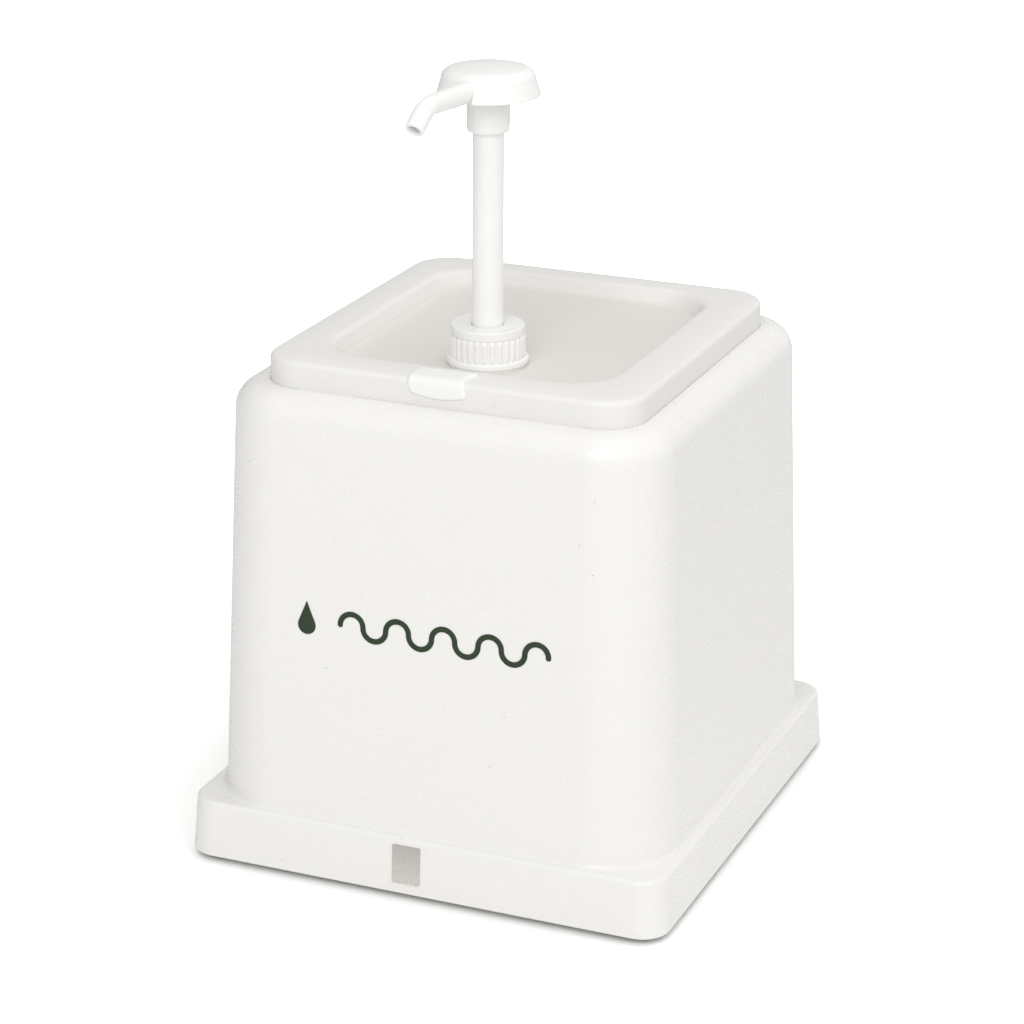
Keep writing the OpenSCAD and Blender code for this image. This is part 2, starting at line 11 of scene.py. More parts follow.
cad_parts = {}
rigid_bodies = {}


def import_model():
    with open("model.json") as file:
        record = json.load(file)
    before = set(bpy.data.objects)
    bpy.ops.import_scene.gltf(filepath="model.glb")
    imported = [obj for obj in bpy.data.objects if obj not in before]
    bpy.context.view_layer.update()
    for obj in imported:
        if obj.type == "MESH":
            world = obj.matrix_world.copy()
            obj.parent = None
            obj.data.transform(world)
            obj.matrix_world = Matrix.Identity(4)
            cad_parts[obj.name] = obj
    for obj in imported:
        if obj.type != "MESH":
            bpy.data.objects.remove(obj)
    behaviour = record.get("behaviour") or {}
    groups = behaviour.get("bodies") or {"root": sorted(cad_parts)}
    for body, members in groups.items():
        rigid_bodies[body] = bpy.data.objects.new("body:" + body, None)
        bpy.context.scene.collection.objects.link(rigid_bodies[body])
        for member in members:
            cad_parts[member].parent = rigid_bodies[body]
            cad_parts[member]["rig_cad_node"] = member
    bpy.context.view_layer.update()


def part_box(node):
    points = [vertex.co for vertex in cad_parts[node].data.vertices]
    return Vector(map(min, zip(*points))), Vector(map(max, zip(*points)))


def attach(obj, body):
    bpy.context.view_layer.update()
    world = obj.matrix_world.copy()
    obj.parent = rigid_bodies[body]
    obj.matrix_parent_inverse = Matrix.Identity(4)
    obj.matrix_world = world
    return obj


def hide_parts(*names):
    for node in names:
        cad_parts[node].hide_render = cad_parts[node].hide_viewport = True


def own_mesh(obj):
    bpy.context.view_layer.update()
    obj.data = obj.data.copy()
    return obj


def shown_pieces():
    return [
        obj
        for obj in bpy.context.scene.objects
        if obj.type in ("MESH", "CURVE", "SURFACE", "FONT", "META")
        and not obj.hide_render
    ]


MM = 0.001

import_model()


# ---- Sizes, taken from the CAD nodes' boxes and the few dimensions a box doesn't show ----

shell_low, shell_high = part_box("housing_shell")
lid_low, lid_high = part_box("lid")
bucket_low, bucket_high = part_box("bucket")
cap_low, cap_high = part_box("pump_cap")
stem_low, stem_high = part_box("stem")
spout_low, spout_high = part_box("spout_body")
dome_low, dome_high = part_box("head_cap")
neck_low, neck_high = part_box("neck")
spring_low, spring_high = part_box("spring")
grip_low, grip_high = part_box("handle_grip")

# Housing
z_edge = shell_low.z
z_deck = shell_high.z
plinth_hx = shell_high.x
plinth_hy = shell_high.y
z_ledge = z_edge + 34 * MM
plinth_r = 17 * MM
plinth_lean = 1.9 * MM
ledge = 6.2 * MM
edge_round = 2.4 * MM
foot_fillet = 3.4 * MM
body_draft = 8.6 * MM
body_r = 44 * MM
deck_round = 16 * MM
wall = 3 * MM

# Lid
lid_hx = lid_high.x
lid_hy = lid_high.y
z_lid = lid_high.z
lid_r = 25 * MM
rim_w = 27.8 * MM
rim_d = 24 * MM
lid_edge = 3.6 * MM
crown = 1.0 * MM
recess_r = 33 * MM
recess_lean = 3 * MM
z_panel = z_lid - 9.7 * MM
skin_t = 1.8 * MM

# Pump
pump_axis = Vector((0, (stem_low.y + stem_high.y) / 2, 0))
stem_r = stem_high.x
stem_bore = 5 * MM
cap_r = 21 * MM
neck_r = 17 * MM
neck_bore = 14.6 * MM
thread_pitch = 4 * MM

# Head
z_collar = spout_low.z
z_spout = z_collar + 26.3 * MM
spout_turn = math.radians(7)
spout_angle = math.radians(40)
spout_straight = 59.8 * MM
spout_r = 6.1 * MM
tip_r = 5.6 * MM
tip_l = 10 * MM
bend_r = 18 * MM
outlet_r = 3.2 * MM
collar_r = 12.5 * MM
hub_r = 9.5 * MM
dome_r = dome_high.x


# ---- Mesh building ----


def piece(name, verts, faces, sharp=35):
    """A mesh object with outward normals, smooth except at edges sharper than sharp degrees."""
    mesh = bpy.data.meshes.new(name)
    mesh.from_pydata([tuple(v) for v in verts], [], faces)
    made = bpy.data.objects.new(name, mesh)
    bpy.context.scene.collection.objects.link(made)
    clean(made, sharp)
    return made


def clean(obj, sharp=35):
    work = bmesh.new()
    work.from_mesh(obj.data)
    bmesh.ops.remove_doubles(work, verts=work.verts, dist=2e-6)
    bmesh.ops.recalc_face_normals(work, faces=work.faces)
    work.to_mesh(obj.data)
    work.free()
    obj.data.shade_smooth()
    obj.data.set_sharp_from_angle(angle=math.radians(sharp))


def weighted(obj):
    """Keeps broad flat faces flat where they run into a rounded edge."""
    obj.modifiers.new("normals", "WEIGHTED_NORMAL").keep_sharp = True


def skin(rings, closed=False):
    """Vertices and faces over a list of rings. A closed skin joins its last ring to its first."""
    count = len(rings[0])
    verts = [point for ring in rings for point in ring]
    faces = []
    for i in range(len(rings) if closed else len(rings) - 1):
        a = i * count
        b = (i + 1) % len(rings) * count
        for j in range(count):
            k = (j + 1) % count
            faces.append((a + j, a + k, b + k, b + j))
    return verts, faces


def outline(hx, hy, r, z, corner=16, side=1):
    """Plan outline: a rectangle of half sizes hx, hy whose corners have radius r."""
    arcs = []
    for quarter, (sx, sy) in enumerate([(1, 1), (-1, 1), (-1, -1), (1, -1)]):
        for i in range(corner + 1):
            a = math.pi / 2 * (quarter + i / corner)
            x = sx * (hx - r) + r * math.cos(a)
            y = sy * (hy - r) + r * math.sin(a)
            arcs.append(Vector((x, y, z)))
    if side == 1:
        return arcs
    ring = []
    for i, point in enumerate(arcs):
        ring.append(point)
        if i % (corner + 1) == corner:
            following = arcs[(i + 1) % len(arcs)]
            ring += [point.lerp(following, k / side) for k in range(1, side)]
    return ring


def rounded(corners, steps=6):
    """Points round a closed profile of (x, y, radius) corners."""
    points = []
    for i, (x, y, r) in enumerate(corners):
        corner = Vector((x, y))
        if r == 0:
            points.append(corner)
            continue
        back = Vector(corners[i - 1][:2]) - corner
        ahead = Vector(corners[(i + 1) % len(corners)][:2]) - corner
        cut = r / math.tan(back.angle(ahead) / 2)
        start = corner + back.normalized() * min(cut, 0.49 * back.length)
        end = corner + ahead.normalized() * min(cut, 0.49 * ahead.length)
        for k in range(steps + 1):
            t = k / steps
            points.append(start * (1 - t) ** 2 + corner * 2 * t * (1 - t) + end * t * t)
    return points


def lathe(name, profile, centre=pump_axis, count=96, sharp=35):
    """A closed profile of (radius, height) points turned about an upright axis."""
    rings = []
    for r, z in profile:
        turn = [2 * math.pi * j / count for j in range(count)]
        rings.append([centre + Vector((r * math.cos(a), r * math.sin(a), z)) for a in turn])
    made = piece(name, *skin(rings, closed=True), sharp=sharp)
    weighted(made)
    return made


def arc(x, y, r, start, end, steps):
    """Points on an arc, angles in degrees."""
    turn = [math.radians(start + (end - start) * i / steps) for i in range(steps + 1)]
    return [(x + r * math.cos(a), y + r * math.sin(a)) for a in turn]


def join(parts):
    """Joins the parts into the first one."""
    with bpy.context.temp_override(
        active_object=parts[0], object=parts[0], selected_editable_objects=parts
    ):
        bpy.ops.object.join()
    return parts[0]


def baked(obj):
    """Replaces the object's mesh with what its modifiers make of it."""
    graph = bpy.context.evaluated_depsgraph_get()
    mesh = bpy.data.meshes.new_from_object(obj.evaluated_get(graph))
    obj.modifiers.clear()
    obj.data = mesh
    return obj


# ---- Housing ----


def housing():
    hx = plinth_hx - plinth_lean
    hy = plinth_hy - plinth_lean
    inset = plinth_lean + ledge
    top = inset + body_draft
    top_r = body_r - body_draft / 2
    lower = 0.6 * MM
    stations = [(plinth_hx - lower, plinth_hy - lower, plinth_r - lower, z_edge)]
    stations.append((plinth_hx, plinth_hy, plinth_r, z_edge + lower))
    for x, y in arc(0, 0, edge_round, 0, 90, 8):
        drop = edge_round - x
        stations.append((hx - drop, hy - drop, plinth_r - drop, z_ledge - edge_round + y))
    for x, y in arc(0, 0, foot_fillet, 270, 180, 8):
        out = foot_fillet + x
        stations.append((plinth_hx - inset + out, plinth_hy - inset + out, body_r + out,
                         z_ledge + foot_fillet + y))
    for x, y in arc(0, 0, deck_round, 0, 90, 18):
        drop = deck_round - x
        stations.append((plinth_hx - top - drop, plinth_hy - top - drop, top_r - drop,
                         z_deck - deck_round + y))

    # The opening round the lid: how far from the lid, and how far below the deck, in millimetres.
    for gap, depth in [(0.5, 0), (0.25, 0.06), (0.15, 0.25), (0.15, 1.5), (1.1, 7), (3.1, 7), (3.1, 4)]:
        away = gap * MM
        stations.append((lid_hx + away, lid_hy + away, lid_r + away, z_deck - depth * MM))
    inner = top + wall
    stations += [
        (plinth_hx - inner - 10 * MM, plinth_hy - inner - 10 * MM, top_r - wall - 10 * MM,
         z_deck - wall - MM),
        (plinth_hx - inner - 3 * MM, plinth_hy - inner - 3 * MM, top_r - wall - 3 * MM,
         z_deck - wall - 4 * MM),
        (plinth_hx - inner, plinth_hy - inner, top_r - wall, z_deck - deck_round),
        (plinth_hx - inset - wall, plinth_hy - inset - wall, body_r - wall, z_ledge),
        (plinth_hx - inset - wall, plinth_hy - inset - wall, body_r - wall, z_ledge - wall),
        (hx - wall, hy - wall, plinth_r - wall, z_ledge - wall),
        (plinth_hx - wall, plinth_hy - wall, plinth_r - wall, z_edge),
    ]
    made = piece("housing_moulding", *skin([outline(*s) for s in stations], closed=True))
    weighted(made)
    return made


# ---- Lid and seal tab ----


def lid_section():
    """(inset from the lid's edge, height) over the lid: skirt, crowned rim and recess wall."""
    crowned = 0.6
    section = [(0.0, lid_low.z + 0.5 * MM)]
    z_turn = z_lid - crown - lid_edge
    section += [(lid_edge - x, z_turn + y) for x, y in arc(0, 0, lid_edge, 0, 72, 9)]
    lip = 5 * MM
    shoulder = [(rim_w - lip + x, z_lid - 0.1 * MM - lip + y)
                for x, y in arc(0, 0, lip, 84, 26, 9)]
    width = shoulder[0][0] - lid_edge
    z_skirt = section[-1][1]
    steps = 12
    for i in range(1, steps):
        t = i / steps
        fall = crown * (1 - t / crowned) ** 2 if t < crowned else 0.0
        section.append((lid_edge + width * t, max(z_skirt, z_lid - fall)))
    toe = 2.4 * MM
    foot_x = rim_w + recess_lean + toe * 0.6
    section += shoulder
    section += [(foot_x + x, z_panel + toe + y) for x, y in arc(0, 0, toe, 206, 270, 6)]
    return section


def lid_station(inset, z):
    """Plan outline's half sizes and corner radius at an inset from the lid's edge."""
    if inset <= lid_edge:
        return lid_hx - inset, lid_hy - inset, lid_r - inset, z
    if inset <= rim_w:
        t = (inset - lid_edge) / (rim_w - lid_edge)
        hy = lid_hy - lid_edge + (lid_edge - rim_d) * t
        r = lid_r - lid_edge + (recess_r - lid_r + lid_edge) * t
        return lid_hx - inset, hy, r, z
    over = inset - rim_w
    return lid_hx - inset, lid_hy - rim_d - over, recess_r - over, z


def lid_box(name, x0, x1, z0, z1, out):
    """A low raised panel with soft edges on the front of the lid's skirt."""
    y = -lid_hy
    edge = 0.5 * MM
    rings = []
    for grow, depth in [(0, -0.4 * MM), (0, out * 0.4), (-edge * 0.4, out * 0.85), (-edge, out)]:
        rings.append([
            Vector((x0 - grow, y - depth, z0 - grow)),
            Vector((x1 + grow, y - depth, z0 - grow)),
            Vector((x1 + grow, y - depth, z1 + grow)),
            Vector((x0 - grow, y - depth, z1 + grow)),
        ])
    verts, faces = skin(rings)
    faces.append((0, 1, 2, 3))
    faces.append(tuple(len(verts) - 4 + k for k in (3, 2, 1, 0)))
    return piece(name, verts, faces, sharp=80)


def lid():
    steps = 14
    stations = [lid_station(inset, z) for inset, z in lid_section()]
    rings = [outline(*s, corner=steps, side=steps) for s in stations]
    hole_r = neck_r + 0.4 * MM

    def hole(z, r):
        around = []
        for point in rings[-1]:
            out = point - pump_axis
            out.z = 0
            around.append(pump_axis + out.normalized() * r + Vector((0, 0, z)))
        return around

    # The underside: the recess wall, a slant under the rim's edge and the skirt.
    slant = 3 * MM
    z_under = z_lid - crown - skin_t - 0.6 * MM
    lower = 0.4 * MM
    skirt = (lid_hx - skin_t, lid_hy - skin_t, lid_r - skin_t)
    under = [
        lid_station(rim_w + recess_lean - skin_t, z_panel - skin_t),
        lid_station(rim_w - skin_t, z_under),
        (skirt[0] - slant, skirt[1] - slant, skirt[2] - slant, z_under),
        (*skirt, z_under - slant),
        (*skirt, lid_low.z),
        (lid_hx - lower, lid_hy - lower, lid_r - lower, lid_low.z),
    ]
    rings += [hole(z_panel, hole_r), hole(z_panel - skin_t, hole_r)]
    rings += [outline(*s, corner=steps, side=steps) for s in under]
    shell = piece("lid_moulding", *skin(rings, closed=True))

    # The moulding gate's ring on the panel, the skirt's raised panels and a pin mark.
    gate = Vector((6 * MM, -7 * MM, 0))
    sunk = z_panel - 0.3 * MM
    proud = 0.3 * MM
    ring = [(9.1 * MM, sunk), (9.1 * MM, z_panel + 0.12 * MM), (9.35 * MM, z_panel + 0.2 * MM),
            (9.6 * MM, z_panel + 0.2 * MM), (9.9 * MM, z_panel + 0.12 * MM), (9.9 * MM, sunk)]
    pip = [(0, sunk), (1.4 * MM, sunk), (1.2 * MM, z_panel + 0.15 * MM),
           (0.6 * MM, z_panel + 0.3 * MM), (0, z_panel + 0.32 * MM)]
    marks = [lathe("gate_ring", ring, gate, 64), lathe("gate_pip", pip, gate, 32)]
    for x0, x1 in [(-85 * MM, -51 * MM), (48 * MM, 82 * MM)]:
        marks.append(lid_box("skirt_panel", x0, x1, z_lid - 21 * MM, z_lid - 10 * MM, proud))
    marks.append(lid_box("pin_mark", 32.4 * MM, 33.8 * MM, z_lid - 12 * MM, z_lid - 10.6 * MM, proud))
    for mark in marks:
        mark.modifiers.clear()
    made = join([shell, *marks])
    made.data.set_sharp_from_angle(angle=math.radians(60))
    weighted(made)
    return made


def seal_tab():
    """A thin moulded tab bent over the front rim, thick in the middle and thin at its edges."""
    half_w = 18.3 * MM
    back = 14 * MM
    drop = 10.6 * MM
    middle_t = 1.15 * MM
    section = [p for p in lid_section() if p[0] <= back + 3 * MM]
    path = [Vector((0, -lid_hy + inset, z)) for inset, z in reversed(section)]
    lengths = [0.0]
    for a, b in zip(path, path[1:]):
        lengths.append(lengths[-1] + (b - a).length)

    def at(s):
        """The point and outward normal at a distance s along the path."""
        s = max(0.0, min(s, lengths[-1] - 1e-6))
        i = max(k for k in range(len(path) - 1) if lengths[k] <= s)
        t = (s - lengths[i]) / (lengths[i + 1] - lengths[i])
        along = (path[i + 1] - path[i]).normalized()
        return path[i].lerp(path[i + 1], t), Vector((0, along.z, -along.y))

    first = next(k for k, p in enumerate(path) if p.y <= -lid_hy + back)
    top = lengths[first]
    bend = next(lengths[k] for k, p in enumerate(path) if p.y <= -lid_hy + 1e-7)
    bottom = bend + drop - lid_edge
    across = 44
    down = 36
    upper, lower = [], []
    for j in range(down + 1):
        v = j / down
        left = -half_w + 1.6 * MM * (2 * v - 1) ** 4 - 0.7 * MM * math.sin(math.pi * v)
        right = half_w - 2.8 * MM * math.sin(math.pi * min(1, v * 1.15)) - 2.2 * MM * v
        for i in range(across + 1):
            u = i / across
            bulge = 2.4 * MM * math.sin(math.pi * u) ** 0.8
            s = top + (bottom - 2.4 * MM + bulge - top) * v
            x = left + (right - left) * u
            point, normal = at(s)
            edge = min(u, 1 - u) * (right - left)
            end = min(v, 1 - v) * (bottom - top)
            thick = middle_t * min(1, min(edge, end) / (1.3 * MM)) ** 0.5
            lip = 0.35 * MM * math.exp(-((v - 0.06) / 0.03) ** 2)
            where = Vector((x, point.y, point.z))
            upper.append(where + normal * (0.45 * MM + thick + lip))
            lower.append(where + normal * 0.1 * MM)
    verts = upper + lower
    row = across + 1
    shift = len(upper)
    faces = []
    for j in range(down):
        for i in range(across):
            a = j * row + i
            faces.append((a, a + 1, a + row + 1, a + row))
            faces.append((shift + a, shift + a + row, shift + a + row + 1, shift + a + 1))
    border = list(range(row))
    border += [j * row + across for j in range(1, down + 1)]
    border += [down * row + i for i in range(across - 1, -1, -1)]
    border += [j * row for j in range(down - 1, 0, -1)]
    for a, b in zip(border, border[1:] + border[:1]):
        faces.append((a, a + shift, b + shift, b))
    return piece("seal_tab_moulding", verts, faces, sharp=60)


# ---- Bucket ----


def bucket():
    foot_hx = 95 * MM
    foot_hy = 103 * MM
    foot_r = 18 * MM
    draft = 9.5 * MM
    z_foot = bucket_low.z
    z_rim = bucket_high.z
    rim_h = 18 * MM
    rim_x = bucket_high.x
    rim_y = bucket_high.y
    rim_r = lid_r - skin_t - 0.7 * MM
    heel = 4 * MM
    stations = []
    for x, y in arc(0, 0, heel, 270, 360, 8):
        inset = heel - x
        stations.append((foot_hx - inset, foot_hy - inset, foot_r - inset, z_foot + heel + y))
    top = (foot_hx + draft, foot_hy + draft, foot_r + 3 * MM)
    stations += [
        (*top, z_rim - skin_t),
        (rim_x - skin_t, rim_y - skin_t, rim_r - skin_t, z_rim - skin_t),
        (rim_x - skin_t, rim_y - skin_t, rim_r - skin_t, z_rim - rim_h),
        (rim_x, rim_y, rim_r, z_rim - rim_h),
        (rim_x, rim_y, rim_r, z_rim - 3.4 * MM),
        (rim_x - 0.3 * MM, rim_y - 0.3 * MM, rim_r - 0.3 * MM, z_rim - 2.7 * MM),
        (rim_x - 2.7 * MM, rim_y - 2.7 * MM, rim_r - 2.7 * MM, z_rim - 0.3 * MM),
        (rim_x - 3.4 * MM, rim_y - 3.4 * MM, rim_r - 3.4 * MM, z_rim),
        (top[0] - skin_t + 0.8 * MM, top[1] - skin_t + 0.8 * MM, top[2] - skin_t, z_rim),
        (top[0] - skin_t, top[1] - skin_t, top[2] - skin_t, z_rim - 0.8 * MM),
    ]
    inner = 5 * MM
    z_floor = z_foot + 3 * MM
    for x, y in arc(0, 0, inner, 360, 270, 8):
        inset = skin_t + inner - x
        stations.append((foot_hx - inset, foot_hy - inset, foot_r - inset, z_floor + inner + y))
    rings = [outline(*s, corner=12) for s in stations]
    verts, faces = skin(rings)
    count = len(rings[0])
    faces.append(tuple(range(count)))
    faces.append(tuple(len(verts) - count + k for k in reversed(range(count))))
    shell = piece("bucket_moulding", verts, faces)
    ears = [bucket_ear(side) for side in (-1, 1)]
    made = join([shell, *ears])
    made.data.set_sharp_from_angle(angle=math.radians(35))
    weighted(made)
    return made


def bucket_ear(side):
    """The round boss that takes one end of the handle's wire, with its socket."""
    z_ear = bucket_high.z - 34.2 * MM
    near = 99 * MM
    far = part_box("bail_handle")[1].x - 4.9 * MM
    hole = 2.27 * MM
    profile = rounded([
        (hole, near + MM, 0), (6 * MM, near + MM, 0), (6 * MM, far, 0.8 * MM),
        (hole, far, 0.3 * MM),
    ])
    made = lathe("ear", profile, Vector((0, 0, 0)), 48)
    made.modifiers.clear()
    made.data.transform(Matrix.Translation((0, 0, z_ear)) @ Matrix.Rotation(side * math.pi / 2, 4, "Y"))
    return made


def handle_grip():
    """The plastic sleeve on the handle's wire, with a low flange at each end."""
    length = grip_high.x - grip_low.x
    r = (grip_high.z - grip_low.z) / 2
    hole = 2.27 * MM
    flange = 3 * MM
    low = r - 0.5 * MM
    corners = [(hole, 0, 0.2 * MM), (r, 0, 0.5 * MM), (r, flange, 0.4 * MM),
               (low, flange + MM, 0.4 * MM), (low, length - flange - MM, 0.4 * MM),
               (r, length - flange, 0.4 * MM), (r, length, 0.5 * MM), (hole, length, 0.2 * MM)]
    made = lathe("grip_moulding", rounded(corners, 4), Vector((0, 0, 0)), 48)
    centre = (grip_low + grip_high) / 2
    place = Matrix.Translation((grip_low.x, centre.y, centre.z)) @ Matrix.Rotation(math.pi / 2, 4, "Y")
    made.data.transform(place)
    return made


# ---- Pump ----


def neck():
    """The threaded neck, its flange and its lower rim."""
    z_flange = z_panel
    flange_r = 22.3 * MM
    flange_t = 1.3 * MM
    rows = [(neck_bore, neck_low.z), (neck_r, neck_low.z), (neck_r, z_flange - 0.1 * MM),
            (flange_r, z_flange), (flange_r, z_flange + flange_t - 0.4 * MM),
            (flange_r - 0.4 * MM, z_flange + flange_t), (neck_r, z_flange + flange_t)]
    steps = 40
    z_start = z_flange + flange_t + MM
    z_end = neck_high.z - MM
    rows += [(neck_r, z_start + (z_end - z_start) * i / steps) for i in range(steps + 1)]
    rows += [(neck_r - 0.5 * MM, neck_high.z), (neck_bore, neck_high.z)]
    count = 96
    crest = 0.75 * MM
    rings = []
    for r, z in rows:
        ring = []
        for j in range(count):
            a = 2 * math.pi * j / count
            grow = 0.0
            if r == neck_r and z_start <= z <= z_end:
                phase = (z - z_start) / thread_pitch - j / count
                off = abs(phase - round(phase)) * thread_pitch
                fade = min(1, (z - z_start) / MM, (z_end - z) / MM)
                grow = crest * max(0.0, 1 - (off / (0.9 * MM)) ** 2) * max(0.0, fade)
            ring.append(pump_axis + Vector(((r + grow) * math.cos(a), (r + grow) * math.sin(a), z)))
        rings.append(ring)
    return piece("neck_moulding", *skin(rings, closed=True), sharp=50)


def pump_cap():
    """The screw cap: flange, ribbed grip, smooth band and a shallow dished top."""
    ribs = 30
    per_rib = 12
    z0 = cap_low.z
    z1 = cap_high.z
    z_band = z1 - 5.4 * MM
    z_grip = z0 + 3.7 * MM
    valley = cap_r - 0.5 * MM
    rib_h = 1.1 * MM
    dish = 0.25 * MM
    flange_r = cap_high.x
    z_mouth = z1 - 4.7 * MM
    hole = stem_r + 0.3 * MM
    rows = [(18.1 * MM, z0, 0), (flange_r - 0.4 * MM, z0, 0), (flange_r, z0 + 0.4 * MM, 0),
            (flange_r, z0 + 2.4 * MM, 0), (flange_r - 0.3 * MM, z0 + 2.9 * MM, 0),
            (flange_r - 0.9 * MM, z0 + 3.3 * MM, 0), (valley + 0.5 * MM, z_grip - 0.1 * MM, 0)]
    steps = 14
    for i in range(steps + 1):
        z = z_grip + (z_band - z_grip) * i / steps
        fade = min(1.0, (z_band - z) / (1.6 * MM), (z - z_grip) / (0.5 * MM) + 0.5)
        rows.append((valley, z, rib_h * math.sqrt(max(0.0, fade))))
    rows += [(cap_r - 0.15 * MM, z_band + 0.3 * MM, 0), (cap_r, z_band + 0.8 * MM, 0)]
    rows += [(r, z, 0) for r, z in arc(cap_r - 0.9 * MM, z1 - 0.9 * MM, 0.9 * MM, 0, 90, 6)]
    rows += [(cap_r - 1.3 * MM, z1 - 0.04 * MM, 0), (cap_r - 1.7 * MM, z1 - 0.16 * MM, 0),
             (cap_r - 2.4 * MM, z1 - dish, 0), (hole + 3 * MM, z1 - dish, 0),
             (hole + 1.5 * MM, z1 - dish, 0), (hole + 0.4 * MM, z1 - dish, 0),
             (hole + 0.1 * MM, z1 - dish - 0.1 * MM, 0), (hole, z1 - dish - 0.4 * MM, 0),
             (hole, z_mouth + 2.4 * MM, 0), (13.6 * MM, z_mouth + 2.4 * MM, 0),
             (13.6 * MM, z_mouth, 0), (18.1 * MM, z_mouth, 0)]
    rings = []
    count = ribs * per_rib
    for r, z, rise in rows:
        ring = []
        for j in range(count):
            a = 2 * math.pi * j / count
            off = abs((j % per_rib) / per_rib - 0.5) * 2
            rib = math.sqrt(max(0.0, 1 - ((1 - off) / 0.8) ** 2)) if rise else 0.0
            out = r + rise * rib
            ring.append(pump_axis + Vector((out * math.cos(a), out * math.sin(a), z)))
        rings.append(ring)
    made = piece("cap_moulding", *skin(rings, closed=True), sharp=50)
    weighted(made)
    return made


def stem():
    pocket_r = 6.4 * MM
    z_pocket = stem_high.z - 12 * MM
    corners = [(stem_bore, stem_low.z, 0), (stem_r, stem_low.z, 0.5 * MM),
               (stem_r, stem_high.z, 0.5 * MM), (pocket_r, stem_high.z, 0),
               (pocket_r, z_pocket, 0), (stem_bore, z_pocket, 0)]
    return lathe("stem_moulding", rounded(corners))


def spring():
    """A closed coil of round wire between its two seats."""
    turns = 12
    steps = 28
    sides = 10
    wire = 0.8 * MM
    coil = spring_high.x - wire
    low = spring_low.z + wire
    high = spring_high.z - wire
    rings = []
    for i in range(turns * steps + 1):
        a = 2 * math.pi * i / steps
        z = low + (high - low) * i / (turns * steps)
        ring = []
        for j in range(sides):
            u = 2 * math.pi * j / sides
            r = coil + wire * math.cos(u)
            ring.append(pump_axis + Vector((r * math.cos(a), r * math.sin(a), z + wire * math.sin(u))))
        rings.append(ring)
    verts, faces = skin(rings)
    faces.append(tuple(range(sides)))
    faces.append(tuple(len(verts) - sides + k for k in range(sides)))
    return piece("spring_coil", verts, faces)


# ---- Head ----


def spout_frame():
    """X along the spout's straight run, Z up, origin on the pump's axis at the spout's height."""
    turn = Matrix.Rotation(-math.pi / 2 - spout_turn, 4, "Z")
    return Matrix.Translation(pump_axis + Vector((0, 0, z_spout))) @ turn


def collar():
    z_stem = stem_high.z + 0.3 * MM
    z_top = z_collar + 21 * MM
    bore = stem_r + 0.07 * MM
    corners = [(bore, z_collar, 0.3 * MM), (collar_r - 0.5 * MM, z_collar, 2.2 * MM),
               (collar_r, z_top, 0.6 * MM), (hub_r, z_top, 0.8 * MM),
               (hub_r, spout_high.z, 1.0 * MM), (0.02 * MM, spout_high.z, 0),
               (0.02 * MM, z_stem, 0), (bore, z_stem, 0)]
    return lathe("collar_moulding", rounded(corners))


def spout():
    """The spout: a tapering tube with a keel under its straight run, a bend and a bevelled tip."""
    count = 48
    bend = bend_r * spout_angle
    total = spout_straight + bend + tip_l
    start = 4 * MM

    def centre(s):
        """Centre and downward slope of the tube at a distance s from the pump's axis."""
        if s <= spout_straight:
            return Vector((s, 0, 0)), 0.0
        a = min((s - spout_straight) / bend_r, spout_angle)
        over = max(0.0, s - spout_straight - bend)
        x = spout_straight + bend_r * math.sin(a) + over * math.cos(a)
        z = -bend_r * (1 - math.cos(a)) - over * math.sin(a)
        return Vector((x, 0, z)), a

    def ring(s, r, keel=0.0):
        at, slope = centre(s)
        up = Vector((math.sin(slope), 0, math.cos(slope)))
        side = Vector((0, 1, 0))
        points = []
        for j in range(count):
            u = 2 * math.pi * j / count
            low = max(0.0, -math.cos(u))
            out = r + keel * low ** 14
            points.append(at + up * out * math.cos(u) + side * out * math.sin(u))
        return points

    rings = []
    steps = 46
    for i in range(steps + 1):
        s = start + (total - 0.9 * MM - start) * i / steps
        r = spout_r + (tip_r - spout_r) * min(1.0, s / spout_straight)
        fade = max(0.0, min(1.0, (spout_straight + 2 * MM - s) / (22 * MM)))
        rings.append(ring(s, r, 0.75 * MM * fade))
    rings.append(ring(total - 0.35 * MM, tip_r - 0.12 * MM))
    rings.append(ring(total - 0.08 * MM, tip_r - 0.4 * MM))
    rings.append(ring(total, tip_r - 0.75 * MM))
    rings.append(ring(total, outlet_r + 0.6 * MM))
    rings.append(ring(total - 0.5 * MM, outlet_r + 0.1 * MM))
    bore_steps = 19
    for i in range(bore_steps + 1):
        rings.append(ring(total - MM - (total - MM - start) * i / bore_steps, outlet_r))
    made = piece("spout_moulding", *skin(rings, closed=True), sharp=50)
    made.data.transform(spout_frame())
    return made


def dome_side(shrink):
    """(radius, height) from the dome's rim up its leaning side and over its shoulder and crown."""
    shoulder_x = dome_r - 9.5 * MM - shrink
    shoulder_z = dome_high.z - 8 * MM - shrink
    points = []
    for a in range(0, 80, 5):
        turn = math.radians(a)
        points.append((shoulder_x + 7 * MM * math.cos(turn), shoulder_z + 6.5 * MM * math.sin(turn)))
    edge_x, edge_z = points[-1]
    top = dome_high.z - shrink
    steps = 10
    for i in range(1, steps + 1):
        x = edge_x * (1 - i / steps)
        points.append((x, top - (top - edge_z) * (x / edge_x) ** 2))
    return points


